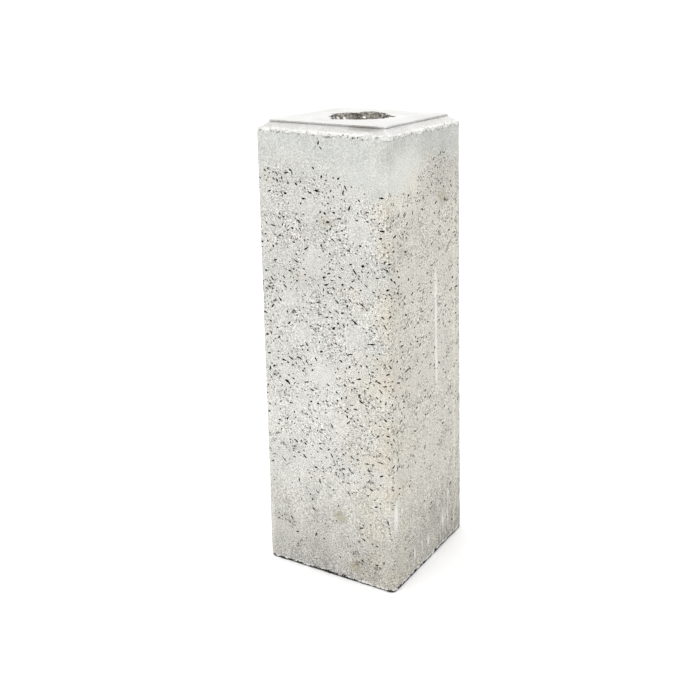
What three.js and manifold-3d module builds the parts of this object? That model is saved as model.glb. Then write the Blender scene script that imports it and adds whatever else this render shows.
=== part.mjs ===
// A column base block of cast concrete: a tall square block, a little narrower at the top than at the foot,
// with a chamfer round its top face and an open round socket in the middle of it. It stands on its foot under
// the post of a carport, fence or veranda, whose anchor is mortared into the socket.
//
// Units are millimetres. +Z is up. The origin is the middle of the underside. The face towards -Y is the one
// that shows widest when the block is seen from its front corner, and +X is on its right.

import * as THREE from "three";
import { mergeVertices } from "three/addons/utils/BufferGeometryUtils.js";
import Module from "manifold-3d";

// The block.
const HEIGHT = 600;
const BASE_WIDTH = 200;
const TOP_WIDTH = 184;
const ARRIS_RADIUS = 5; // the upright edges are rounded by the mould and by handling

// The chamfer round the top face, and the low lip that the mould's lid left above it.
const CHAMFER_INSET = 10;
const CHAMFER_DROP = 10;
const CHAMFER_CRUMBLE = 1.6; // how far its lower edge wanders up and down
const LIP_HEIGHT = 1.6;
const LIP_GROOVE = 1.2;

// The socket. Its wall draws in a little towards the floor, so that the core could be pulled out.
const SOCKET_MOUTH = 72;
const SOCKET_FLOOR = 66;
const SOCKET_DEPTH = 200;
const SOCKET_ROUGHNESS = 0.9;
const RIM_BREAK = 1.5; // the least that the rim is broken back all round
const RIM_CRUMBLE = 1.8;
const RIM_DEPTH = 7;

// The worst breaks of the rim: the direction in degrees from +X, how far each reaches out, and its half width
// in degrees.
const RIM_BREAKS = [
  { towards: 159, reach: 6.5, spread: 26 },
  { towards: 91, reach: 9.5, spread: 24 },
  { towards: 22, reach: 6, spread: 9 },
  { towards: 257, reach: 8, spread: 16 },
];

// The broken edge round the underside.
const FOOT_BREAK = 1.6;
const FOOT_CRUMBLE = 1.1;

// How long the waves are in its broken edges.
const LONG_WAVE = 47;
const MIDDLE_WAVE = 19;
const SHORT_WAVE = 11;

// The largest air voids of the four sides. Side 0 faces -Y, side 1 +X, and so on round. Across is a share of
// the half width, from the side's middle line to the right, and up is a share of the height. Lean is that of
// the long axis, in degrees from level.
const VOIDS = [
  { side: 0, across: -0.06, up: 0.96, length: 9, breadth: 2.5, depth: 2, lean: -62 },
  { side: 0, across: -0.06, up: 0.87, length: 8, breadth: 3, depth: 2.5, lean: -5 },
  { side: 0, across: -0.77, up: 0.79, length: 10, breadth: 2.5, depth: 2, lean: -11 },
  { side: 0, across: -0.25, up: 0.75, length: 9, breadth: 2.5, depth: 2, lean: 31 },
  { side: 0, across: 0.17, up: 0.77, length: 10, breadth: 2.5, depth: 2, lean: -29 },
  { side: 0, across: 0.61, up: 0.73, length: 5.5, breadth: 4.5, depth: 3.5, lean: -32 },
  { side: 0, across: 0.48, up: 0.61, length: 12, breadth: 3, depth: 2.5, lean: -33 },
  { side: 0, across: 0.15, up: 0.59, length: 8, breadth: 4, depth: 3, lean: 46 },
  { side: 0, across: 0.4, up: 0.54, length: 12, breadth: 3, depth: 2.5, lean: 14 },
  { side: 0, across: -0.62, up: 0.45, length: 12, breadth: 5, depth: 3.5, lean: -36 },
  { side: 0, across: 0.82, up: 0.49, length: 11, breadth: 3.5, depth: 2.5, lean: -19 },
  { side: 0, across: 0.83, up: 0.31, length: 13, breadth: 3, depth: 2.5, lean: -8 },
  { side: 0, across: -0.19, up: 0.26, length: 8, breadth: 3, depth: 2.5, lean: -16 },
  { side: 0, across: 0.64, up: 0.26, length: 11, breadth: 3, depth: 2, lean: 54 },
  { side: 1, across: 0.65, up: 0.73, length: 11, breadth: 2.5, depth: 2, lean: 30 },
  { side: 1, across: -0.42, up: 0.66, length: 7, breadth: 3.5, depth: 3, lean: 31 },
  { side: 1, across: -0.7, up: 0.56, length: 9, breadth: 3, depth: 2.5, lean: 7 },
  { side: 1, across: -0.58, up: 0.5, length: 15, breadth: 3.5, depth: 3, lean: 10 },
  { side: 1, across: -0.58, up: 0.28, length: 11, breadth: 3, depth: 2.5, lean: 35 },
  { side: 2, across: 0.34, up: 0.7, length: 12, breadth: 4, depth: 3, lean: -28 },
  { side: 2, across: -0.49, up: 0.42, length: 9, breadth: 4.5, depth: 3.5, lean: 20 },
  { side: 2, across: 0.12, up: 0.55, length: 12, breadth: 3, depth: 2.5, lean: 12 },
  { side: 3, across: -0.24, up: 0.65, length: 10, breadth: 4, depth: 3, lean: -40 },
  { side: 3, across: 0.47, up: 0.37, length: 12, breadth: 3, depth: 2.5, lean: 14 },
];

const VOID_UNEVENNESS = 0.22; // how far their walls swell and shrink, as a share of their size

// How finely the rings round the block are divided.
const SIDE_STEPS = 36;
const ARRIS_STEPS = 4;

const CONCRETE = { color: 0xc4c3be, roughness: 0.92, metalness: 0 };

const SIDES = 4;
const QUARTER_TURN = Math.PI / 2;
const DRAFT = (BASE_WIDTH - TOP_WIDTH) / 2 / HEIGHT; // how much each side leans in, per unit of height

const halfWidthAt = (z) => BASE_WIDTH / 2 - DRAFT * z;

// An uneven wave between -1 and 1 along a distance. Seeds give different waves.
function wander(distance, seed) {
  const waves = [LONG_WAVE, MIDDLE_WAVE, SHORT_WAVE].map((length, i) =>
    Math.sin((2 * Math.PI * distance) / length + seed * (5.1 - i * 2.4)),
  );
  return waves.reduce((sum, wave) => sum + wave, 0) / waves.length;
}

// The points of a rounded square, anticlockwise from the middle of the -Y side's left end. Each has its place
// (x, y) for a half width and an edge radius, and how far along the outline it lies.
function squareOutline(halfWidth, radius) {
  const points = [];
  const straight = 2 * (halfWidth - radius);
  const round = radius * QUARTER_TURN;
  for (let side = 0; side < SIDES; side += 1) {
    const turn = side * QUARTER_TURN;
    const start = side * (straight + round);
    for (let i = 0; i < SIDE_STEPS; i += 1) {
      const along = (straight * i) / SIDE_STEPS;
      const place = new THREE.Vector2(along - straight / 2, -halfWidth);
      points.push({ place: place.rotateAround(new THREE.Vector2(), turn), along: start + along });
    }
    for (let i = 0; i < ARRIS_STEPS; i += 1) {
      const share = i / ARRIS_STEPS;
      const angle = share * QUARTER_TURN;
      const place = new THREE.Vector2(
        straight / 2 + radius * Math.sin(angle),
        -halfWidth + radius * (1 - Math.cos(angle)),
      );
      points.push({
        place: place.rotateAround(new THREE.Vector2(), turn),
        along: start + straight + round * share,
      });
    }
  }
  return points;
}

// Where each ring's points lie along the outline, and in which direction they lie from the block's axis.
const OUTLINE = squareOutline(BASE_WIDTH / 2, ARRIS_RADIUS);
const ALONG = OUTLINE.map((point) => point.along);
const DIRECTION = OUTLINE.map((point) => point.place.angle());

// A ring of the block's outside. Its height may differ from point to point, and inset draws it in.
function outsideRing(heightAt, insetAt = () => 0) {
  return OUTLINE.map((_, i) => {
    const z = heightAt(ALONG[i]);
    const halfWidth = halfWidthAt(z) - insetAt(ALONG[i]);
    const { place } = squareOutline(halfWidth, ARRIS_RADIUS)[i];
    return new THREE.Vector3(place.x, place.y, z);
  });
}

// A ring of the top face's edge, which is set in from the block's outside.
function topRing(inset, z) {
  return squareOutline(TOP_WIDTH / 2 - inset, ARRIS_RADIUS).map(
    ({ place }) => new THREE.Vector3(place.x, place.y, z),
  );
}

const socketRadiusAt = (depth) =>
  THREE.MathUtils.lerp(SOCKET_MOUTH, SOCKET_FLOOR, depth / SOCKET_DEPTH) / 2;

// A ring of the socket's wall. Its points lie in the same directions as those of the outside rings.
function socketRing(radiusAt, depthAt) {
  return DIRECTION.map((angle) => {
    const radius = radiusAt(angle);
    return new THREE.Vector3(radius * Math.cos(angle), radius * Math.sin(angle), HEIGHT - depthAt(angle));
  });
}

// The uneven wave taken round the socket.
const wanderRound = (angle, seed) => wander((angle * SOCKET_MOUTH) / 2, seed);

// How far the rim is broken back in a direction.
function rimBreakAt(angle) {
  const crumbs = (RIM_CRUMBLE * (1 + wanderRound(angle, 3))) / 2;
  const breaks = RIM_BREAKS.map(({ towards, reach, spread }) => {
    const edge = Math.cos(THREE.MathUtils.degToRad(spread));
    const share = (Math.cos(angle - THREE.MathUtils.degToRad(towards)) - edge) / (1 - edge);
    return reach * Math.sqrt(Math.max(0, share));
  });
  return RIM_BREAK + crumbs + Math.max(...breaks);
}

// A closed skin over rings of equal length, with a point in the middle of the first and of the last ring.
function closedSkin(rings) {
  const count = rings[0].length;
  const firstMiddle = new THREE.Vector3(0, 0, rings[0][0].z);
  const lastMiddle = new THREE.Vector3(0, 0, rings.at(-1)[0].z);
  const positions = [...rings.flat(), firstMiddle, lastMiddle].flatMap((point) => point.toArray());
  const first = rings.length * count;
  const last = first + 1;
  const faces = [];
  for (let i = 0; i < count; i += 1) {
    const next = (i + 1) % count;
    const lastRing = (rings.length - 1) * count;
    faces.push(first, next, i);
    for (let ring = 0; ring + 1 < rings.length; ring += 1) {
      const low = ring * count;
      const high = low + count;
      faces.push(low + i, low + next, high + next);
      faces.push(low + i, high + next, high + i);
    }
    faces.push(last, lastRing + i, lastRing + next);
  }
  const skin = new THREE.BufferGeometry();
  skin.setAttribute("position", new THREE.Float32BufferAttribute(positions, 3));
  skin.setIndex(faces);
  return skin;
}

// The whole block: up the outside, over the chamfer and the top face, and down into the socket.
function blockSkin() {
  const footBreakAt = (along) => FOOT_BREAK + FOOT_CRUMBLE * wander(along, 1);
  const chamferFootAt = (along) => HEIGHT - CHAMFER_DROP + CHAMFER_CRUMBLE * wander(along, 2);
  const rough = (angle, seed) => SOCKET_ROUGHNESS * wanderRound(angle, seed);
  const wallRing = (share, seed) =>
    socketRing(
      (angle) => socketRadiusAt(SOCKET_DEPTH * share) + rough(angle, seed),
      () => SOCKET_DEPTH * share,
    );
  return closedSkin([
    outsideRing(() => 0, footBreakAt),
    outsideRing(footBreakAt),
    outsideRing(chamferFootAt),
    topRing(CHAMFER_INSET + LIP_GROOVE, HEIGHT - LIP_HEIGHT - LIP_GROOVE / 2),
    topRing(CHAMFER_INSET, HEIGHT - LIP_HEIGHT),
    topRing(CHAMFER_INSET, HEIGHT),
    socketRing(
      (angle) => socketRadiusAt(0) + rimBreakAt(angle),
      () => 0,
    ),
    socketRing(
      (angle) => socketRadiusAt(RIM_DEPTH) + rough(angle, 4),
      (angle) => RIM_DEPTH + rough(angle, 5),
    ),
    wallRing(0.2, 6),
    wallRing(0.55, 7),
    wallRing(0.85, 8),
    wallRing(1, 9),
  ]);
}

// An angular lump as large as an air void, sunk to its depth into one side of the block.
function voidLump({ side, across, up, length, breadth, depth, lean }) {
  const z = up * HEIGHT;
  const lump = new THREE.IcosahedronGeometry(1, 1);
  const place = lump.getAttribute("position");
  for (let i = 0; i < place.count; i += 1) {
    const point = new THREE.Vector3().fromBufferAttribute(place, i);
    const unevenness = 1 + VOID_UNEVENNESS * Math.sin(7 * point.x + lean) * Math.sin(5 * point.z + length);
    place.setXYZ(i, ...point.multiplyScalar(unevenness).toArray());
  }
  lump.scale(length / 2, depth, breadth / 2);
  lump.rotateY(THREE.MathUtils.degToRad(-lean));
  lump.rotateX(-Math.atan(DRAFT));
  lump.translate(across * halfWidthAt(z), -halfWidthAt(z), z);
  lump.rotateZ(side * QUARTER_TURN);
  return lump;
}

const wasm = await Module();
wasm.setup();

// A closed three.js geometry as a solid that can be cut.
function solidOf(geometry) {
  const bare = geometry.clone();
  bare.deleteAttribute("normal");
  bare.deleteAttribute("uv");
  const merged = mergeVertices(bare, 1e-3);
  return new wasm.Manifold(
    new wasm.Mesh({
      numProp: 3,
      vertProperties: merged.getAttribute("position").array,
      triVerts: new Uint32Array(merged.index.array),
    }),
  );
}

// A solid as a three.js geometry.
function geometryOf(solid) {
  const mesh = solid.getMesh();
  const geometry = new THREE.BufferGeometry();
  geometry.setAttribute("position", new THREE.BufferAttribute(mesh.vertProperties, 3));
  geometry.setIndex(new THREE.BufferAttribute(mesh.triVerts, 1));
  geometry.computeVertexNormals();
  return geometry;
}

function concreteBlock() {
  const solid = VOIDS.reduce(
    (block, airVoid) => block.subtract(solidOf(voidLump(airVoid))),
    solidOf(blockSkin()),
  );
  const mesh = new THREE.Mesh(geometryOf(solid), new THREE.MeshStandardMaterial(CONCRETE));
  mesh.name = "concrete_block";
  return mesh;
}

const columnBase = new THREE.Group();
columnBase.add(concreteBlock());

export default columnBase;
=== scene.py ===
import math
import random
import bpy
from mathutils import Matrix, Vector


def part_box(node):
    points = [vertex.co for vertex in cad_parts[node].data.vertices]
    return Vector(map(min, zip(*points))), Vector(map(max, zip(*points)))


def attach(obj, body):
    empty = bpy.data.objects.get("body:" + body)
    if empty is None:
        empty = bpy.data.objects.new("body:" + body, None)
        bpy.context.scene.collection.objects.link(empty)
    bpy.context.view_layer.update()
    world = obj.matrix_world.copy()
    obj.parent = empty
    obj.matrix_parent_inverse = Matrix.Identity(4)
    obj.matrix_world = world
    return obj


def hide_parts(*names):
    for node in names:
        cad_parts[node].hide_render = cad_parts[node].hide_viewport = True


bl_info = {
    "name": "Column base block",
    "version": (1, 0, 0),
    "blender": (4, 5, 0),
    "location": "View3D > Sidebar > Column base",
    "description": "Casts a weathered concrete column base block and sets it in a plain studio",
    "category": "Object",
}

import bmesh
import bpy
from mathutils import Euler, Matrix, Vector, noise

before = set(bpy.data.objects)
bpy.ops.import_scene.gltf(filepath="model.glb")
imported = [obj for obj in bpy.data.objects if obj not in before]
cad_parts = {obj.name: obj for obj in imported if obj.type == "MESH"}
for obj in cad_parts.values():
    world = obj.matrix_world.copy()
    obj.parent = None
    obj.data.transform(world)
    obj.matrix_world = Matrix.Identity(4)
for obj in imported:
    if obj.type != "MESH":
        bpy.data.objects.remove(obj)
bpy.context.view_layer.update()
NODE = "concrete_block"
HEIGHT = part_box(NODE)[1].z

MM = 0.001
QUARTER_TURN = math.pi / 2
UP = Vector((0, 0, 1))

# A layer says how much painted shade a face gets as a wall of a cut. The walls of each kind of cut have a
# value: the crumbled edges get a darker tone that is partly painted shade, and the socket and the air voids
# get painted shade.
VOID_LAYER = "void"
CRUMBLED = 0.17
SHADED_SOCKET_WALL = 0.35
SHADED_VOID_WALL = 1.0

# The upright sides, anticlockwise. The photo shows the first two, and the front arris stands between them.
WIDE_SIDE, NARROW_SIDE, FAR_SIDE, BACK_SIDE = range(4)


def length(name, description, millimetres):
    """A length that a user can change, with its default in millimetres."""
    return bpy.props.FloatProperty(
        name=name, description=description, default=millimetres * MM, unit="LENGTH", precision=4
    )


def colour(name, description, default):
    """A linear colour that a user can change."""
    return bpy.props.FloatVectorProperty(
        name=name, description=description, default=default, size=3, min=0, max=1, subtype="COLOR"
    )


def amount(name, description, default):
    """A plain number that a user can change."""
    return bpy.props.FloatProperty(name=name, description=description, default=default)


class BlockSizes(bpy.types.PropertyGroup):
    """The block's sizes as cast"""

    foot_width: length("Foot width", "Width over the foot before its edge is broken", 200)
    top_width: length("Top width", "Width that the sides would have at the top face", 184)
    arris_radius: length("Arris radius", "Rounding of the upright edges", 5)
    chamfer: length("Chamfer", "How far the chamfer comes in and drops from the top face", 10)
    lip_height: length("Lip height", "Height of the thin lip round the top face", 1.6)
    lip_groove: length("Lip groove", "How far the chamfer runs in under the lip", 1.2)
    foot_break: length("Foot break", "How far the edge round the underside is broken back", 1.8)
    socket_mouth: length("Socket mouth", "Diameter of the socket below its broken rim", 72)
    socket_floor: length("Socket floor", "Diameter of the socket at its floor", 66)
    socket_depth: length("Socket depth", "Depth of the socket", 200)
    rim_depth: length("Rim depth", "How deep the broken rim reaches", 7)
    rim_break: length("Rim break", "The least that the rim is broken back all round", 1.5)


class CastingMarks(bpy.types.PropertyGroup):
    """What the mould, the mix and handling left on the block"""

    grid: length("Grid", "Size of the faces that the sides are divided into", 6)
    waviness: length("Waviness", "How far the sides swell and dip", 0.15)
    chamfer_jag: length("Chamfer jag", "How far the chamfer's lower edge wanders up and down", 2.3)
    arris_wear: length("Arris wear", "How deep the upright edges are worn in places", 1)
    corner_wear: length("Corner wear", "How far the corners of the foot and lip are rubbed off", 1.6)
    socket_roughness: length("Socket roughness", "How far the socket's wall swells and dips", 1.3)
    void_tries: bpy.props.IntProperty(
        name="Void tries",
        description="How many places on the widest side are tried for an air void",
        default=3500,
        min=0,
    )
    arris_voids: bpy.props.IntProperty(
        name="Arris voids", description="How many air voids the front arris is given", default=130, min=0
    )
    seed: bpy.props.IntProperty(name="Seed", description="Seed of all that is scattered", default=7)


def sizes():
    return bpy.context.scene.column_base_sizes


def marks():
    return bpy.context.scene.column_base_marks


def finish_colours():
    return bpy.context.scene.column_base_colours


def half_width_at(z):
    """Half the width over the sides at a height."""
    foot, top = sizes().foot_width, sizes().top_width
    return (foot + (top - foot) * z / HEIGHT) / 2


def draft():
    """The angle by which each side leans in."""
    return math.atan((sizes().foot_width - sizes().top_width) / 2 / HEIGHT)


def chamfer_foot():
    return HEIGHT - sizes().chamfer


def rough(point, wave, seed=0):
    """Even noise between about -1 and 1, with lumps as large as the wave."""
    return noise.noise(point / wave + Vector((seed, 2.3 * seed, -1.7 * seed)))


def new_object(name, bm, void=0.0):
    """Closes a bmesh into an object, whose faces all have one value in the void layer."""
    bmesh.ops.recalc_face_normals(bm, faces=bm.faces)
    mesh = bpy.data.meshes.new(name)
    bm.to_mesh(mesh)
    bm.free()
    layer = mesh.attributes.new(VOID_LAYER, "FLOAT", "FACE")
    layer.data.foreach_set("value", [void] * len(mesh.polygons))
    made = bpy.data.objects.new(name, mesh)
    bpy.context.scene.collection.objects.link(made)
    return made


def cut_away(block, cutter):
    """Cuts a closed object out of the block and deletes it."""
    cut = block.modifiers.new(cutter.name, "BOOLEAN")
    cut.operation = "DIFFERENCE"
    cut.solver = "MANIFOLD"
    cut.object = cutter
    with bpy.context.temp_override(object=block, active_object=block):
        bpy.ops.object.modifier_apply(modifier=cut.name)
    bpy.data.objects.remove(cutter)


# The body

ARRIS_SEGMENTS = 4
CHAMFER_ROWS = 3
FINE_CUTS = 2
FINE_BAND = 15 * MM  # how far below the top face the grid is made finer
FINE_FOOT = 7 * MM  # how far above the ground it is made finer
SLACK = 0.1 * MM  # heights closer than this count as one

# How long the waves are in the sides and in each of the edges
SWELL_WAVES = (55 * MM, 14 * MM)
CHAMFER_WAVES = (9 * MM, 3.1 * MM)
LIP_WAVES = (4 * MM, 6 * MM)
WEAR_WAVES = (9 * MM, 30 * MM)
FOOT_WAVES = (14 * MM, 5 * MM)

WEAR_REACH = 6 * MM  # how far from the arrises they are worn
RUBBED_FOOT = 18 * MM  # how far above the ground the corners are rubbed off
RUBBED_LIP = 9 * MM  # how far below the top face they are


def is_upright(edge):
    rise = edge.verts[1].co - edge.verts[0].co
    return abs(rise.z) > rise.length / 2


def raise_face(bm, face, z, half_width):
    """Extrudes a level face up to a height and a half width, and returns its new face."""
    below = max(abs(v.co.x) for v in face.verts)
    level = face.verts[0].co.z
    raised = bmesh.ops.extrude_discrete_faces(bm, faces=[face])["faces"][0]
    grow = half_width / below
    bmesh.ops.scale(bm, vec=(grow, grow, 1), verts=raised.verts)
    bmesh.ops.translate(bm, vec=UP * (z - level), verts=raised.verts)
    return raised


def divide(bm, edges, cuts):
    bmesh.ops.subdivide_edges(bm, edges=edges, cuts=cuts, use_grid_fill=True)


def tapered_body(bm):
    """The body up to the chamfer's foot, with rounded arrises."""
    made = bmesh.ops.create_cube(bm, size=1)["verts"]
    bmesh.ops.translate(bm, vec=UP / 2, verts=made)
    bmesh.ops.scale(bm, vec=(2 * half_width_at(0), 2 * half_width_at(0), chamfer_foot()), verts=made)
    top = [v for v in made if v.co.z > 0]
    shrink = half_width_at(chamfer_foot()) / half_width_at(0)
    bmesh.ops.scale(bm, vec=(shrink, shrink, 1), verts=top)
    bmesh.ops.bevel(
        bm,
        geom=[edge for edge in bm.edges if is_upright(edge)],
        offset=sizes().arris_radius,
        offset_type="OFFSET",
        segments=ARRIS_SEGMENTS,
        profile=0.5,
        affect="EDGES",
        material=-1,
    )


def chamfered_top(bm):
    """The chamfer, the groove under the lip, and the lip round the top face."""
    face = max(bm.faces, key=lambda f: f.calc_center_median().z)
    inner = sizes().top_width / 2 - sizes().chamfer
    groove = inner - sizes().lip_groove
    lip_foot = HEIGHT - sizes().lip_height
    groove_z = lip_foot - sizes().lip_groove / 2
    foot = half_width_at(chamfer_foot())
    for row in range(1, CHAMFER_ROWS + 1):
        part = row / CHAMFER_ROWS
        z = chamfer_foot() + (groove_z - chamfer_foot()) * part
        face = raise_face(bm, face, z, foot + (groove - foot) * part)
    face = raise_face(bm, face, lip_foot, inner)
    raise_face(bm, face, HEIGHT, inner)


def divided(bm):
    """Divides the sides into a grid, which is finer round the chamfer."""
    grid = marks().grid
    tall = [edge for edge in bm.edges if edge.calc_length() > HEIGHT / 2]
    divide(bm, tall, round(HEIGHT / grid) - 1)
    wide = [edge for edge in bm.edges if edge.calc_length() > sizes().top_width / 2]
    divide(bm, wide, round(sizes().foot_width / grid) - 1)
    for is_fine in (lambda v: v.co.z > HEIGHT - FINE_BAND, lambda v: v.co.z < FINE_FOOT):
        divide(bm, [edge for edge in bm.edges if all(is_fine(v) for v in edge.verts)], FINE_CUTS)


def jagged_chamfer(bm):
    """Lets the chamfer's lower edge wander up and down the sides."""
    reach = sizes().chamfer * 0.6
    for v in bm.verts:
        away = abs(v.co.z - chamfer_foot()) / reach
        if away < 1:
            flat = Vector((v.co.x, v.co.y, 0))
            jag = 0.8 * rough(flat, CHAMFER_WAVES[0], 1) + 0.9 * rough(flat, CHAMFER_WAVES[1], 2)
            v.co.z += marks().chamfer_jag * jag * (1 - away)


def uneven(bm):
    """Gives the sides and arrises their slight waves, and the lip its breaks."""
    lip_foot = HEIGHT - sizes().lip_height
    for v in bm.verts:
        outwards = Vector((v.co.x, v.co.y, 0)).normalized()
        swell = rough(v.co, SWELL_WAVES[0], 3) + 0.5 * rough(v.co, SWELL_WAVES[1], 4)
        v.co += outwards * marks().waviness * (swell - 1)
        if lip_foot - SLACK < v.co.z < HEIGHT - SLACK:
            v.co.z = min(HEIGHT, v.co.z + sizes().lip_height * 0.45 * rough(v.co, LIP_WAVES[0], 5))
        elif v.co.z > HEIGHT - SLACK:
            v.co -= outwards * sizes().lip_groove * max(0, 0.6 * rough(v.co, LIP_WAVES[1], 6))


def worn_corners(bm):
    """Wears the upright edges in places, and rubs off the corners of the foot and of the lip."""
    for v in bm.verts:
        half = half_width_at(v.co.z)
        if v.co.z > chamfer_foot():
            on_chamfer = half_width_at(chamfer_foot()) - (v.co.z - chamfer_foot())
            half = max(on_chamfer, sizes().top_width / 2 - sizes().chamfer)
        nearness = (abs(v.co.x) + abs(v.co.y) - 2 * half + 1.5 * WEAR_REACH) / WEAR_REACH
        if nearness <= 0:
            continue
        nearness = min(1, nearness)
        bites = 0.7 * rough(v.co, WEAR_WAVES[0], 12) + 0.9 * rough(v.co, WEAR_WAVES[1], 13) - 0.1
        wear = marks().arris_wear * min(1, max(0, bites))
        low = max(0, 1 - v.co.z / RUBBED_FOOT)
        high = max(0, 1 - (HEIGHT - v.co.z) / RUBBED_LIP)
        wear += marks().corner_wear * max(0.6 * low**2, high)
        diagonal = Vector((-math.copysign(1, v.co.x), -math.copysign(1, v.co.y), 0)).normalized()
        v.co += diagonal * wear * nearness


def broken_foot(bm):
    """Breaks the edge round the underside."""
    edges = [edge for edge in bm.edges if all(v.co.z < MM for v in edge.verts)]
    bmesh.ops.bevel(
        bm,
        geom=edges,
        offset=sizes().foot_break,
        offset_type="OFFSET",
        segments=1,
        profile=0.5,
        affect="EDGES",
        material=-1,
    )
    for v in bm.verts:
        if 0.5 * sizes().foot_break < v.co.z < 2 * sizes().foot_break:
            jag = 0.8 * rough(v.co, FOOT_WAVES[0], 7) + 0.8 * rough(v.co, FOOT_WAVES[1], 14)
            v.co.z += sizes().foot_break * min(0.7, max(-0.75, jag))


def cast_body():
    bm = bmesh.new()
    tapered_body(bm)
    chamfered_top(bm)
    divided(bm)
    jagged_chamfer(bm)
    uneven(bm)
    worn_corners(bm)
    broken_foot(bm)
    return new_object("cast_block", bm)


# The socket

SOCKET_STEPS = 144
SOCKET_ROWS = 30
ABOVE_TOP = 4 * MM  # how far a cutter stands out of the top face

# The worst breaks of the rim: the direction from +X and the half width in degrees, and the reach.
RIM_BREAKS = (
    {"towards": 159, "spread": 26, "reach": 6.5 * MM},
    {"towards": 91, "spread": 24, "reach": 9.5 * MM},
    {"towards": 106, "spread": 17, "reach": 17 * MM},
    {"towards": 22, "spread": 9, "reach": 6 * MM},
    {"towards": 257, "spread": 16, "reach": 8 * MM},
)


def rim_reach(point):
    """How far the rim is broken back in a point's direction."""
    angle = math.atan2(point.y, point.x)
    reach = 0
    for worst in RIM_BREAKS:
        edge = math.cos(math.radians(worst["spread"]))
        part = (math.cos(angle - math.radians(worst["towards"])) - edge) / (1 - edge)
        reach = max(reach, worst["reach"] * math.sqrt(max(0, part)))
    crumbs = 1 + rough(Vector((point.x, point.y, 0)), 5 * MM, 8)
    return sizes().rim_break * crumbs + reach


def open_socket(block):
    """Cuts the round socket and breaks its rim."""
    bm = bmesh.new()
    floor = HEIGHT - sizes().socket_depth
    profile = [bm.verts.new((0, 0, floor))]
    for row in range(SOCKET_ROWS + 1):
        part = 1 - (1 - row / SOCKET_ROWS) ** 1.6
        radius = (sizes().socket_floor + (sizes().socket_mouth - sizes().socket_floor) * part) / 2
        profile.append(bm.verts.new((radius, 0, floor + sizes().socket_depth * part)))
    top = HEIGHT + ABOVE_TOP
    profile.append(bm.verts.new((sizes().socket_mouth / 2, 0, top)))
    profile.append(bm.verts.new((0, 0, top)))
    edges = [bm.edges.new(pair) for pair in zip(profile, profile[1:])]
    bmesh.ops.spin(
        bm,
        geom=profile + edges,
        cent=(0, 0, 0),
        axis=UP,
        angle=2 * math.pi,
        steps=SOCKET_STEPS,
        use_merge=True,
    )
    bmesh.ops.remove_doubles(bm, verts=bm.verts, dist=0.01 * MM)
    for v in bm.verts:
        outwards = Vector((v.co.x, v.co.y, 0))
        if outwards.length < sizes().socket_floor / 4:
            continue
        outwards.normalize()
        v.co += outwards * marks().socket_roughness * (
            rough(v.co, 9 * MM, 9) + 0.7 * rough(v.co, 4 * MM, 10)
        )
        depth = max(0, HEIGHT - v.co.z)
        part = max(0, 1 - depth / (sizes().rim_depth * (1.2 + 0.8 * rough(outwards, 0.2, 11))))
        v.co += outwards * rim_reach(v.co) * part**1.5
    cut_away(block, new_object("socket_core", bm, void=SHADED_SOCKET_WALL))


# The voids and crumbs

LUMP_KINDS = 12
SLIVER = 0.005 * MM  # faces thinner than this are closed up
CRUMB_INSET = 0.8 * MM  # how far in from an arris its crumbs lie

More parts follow.
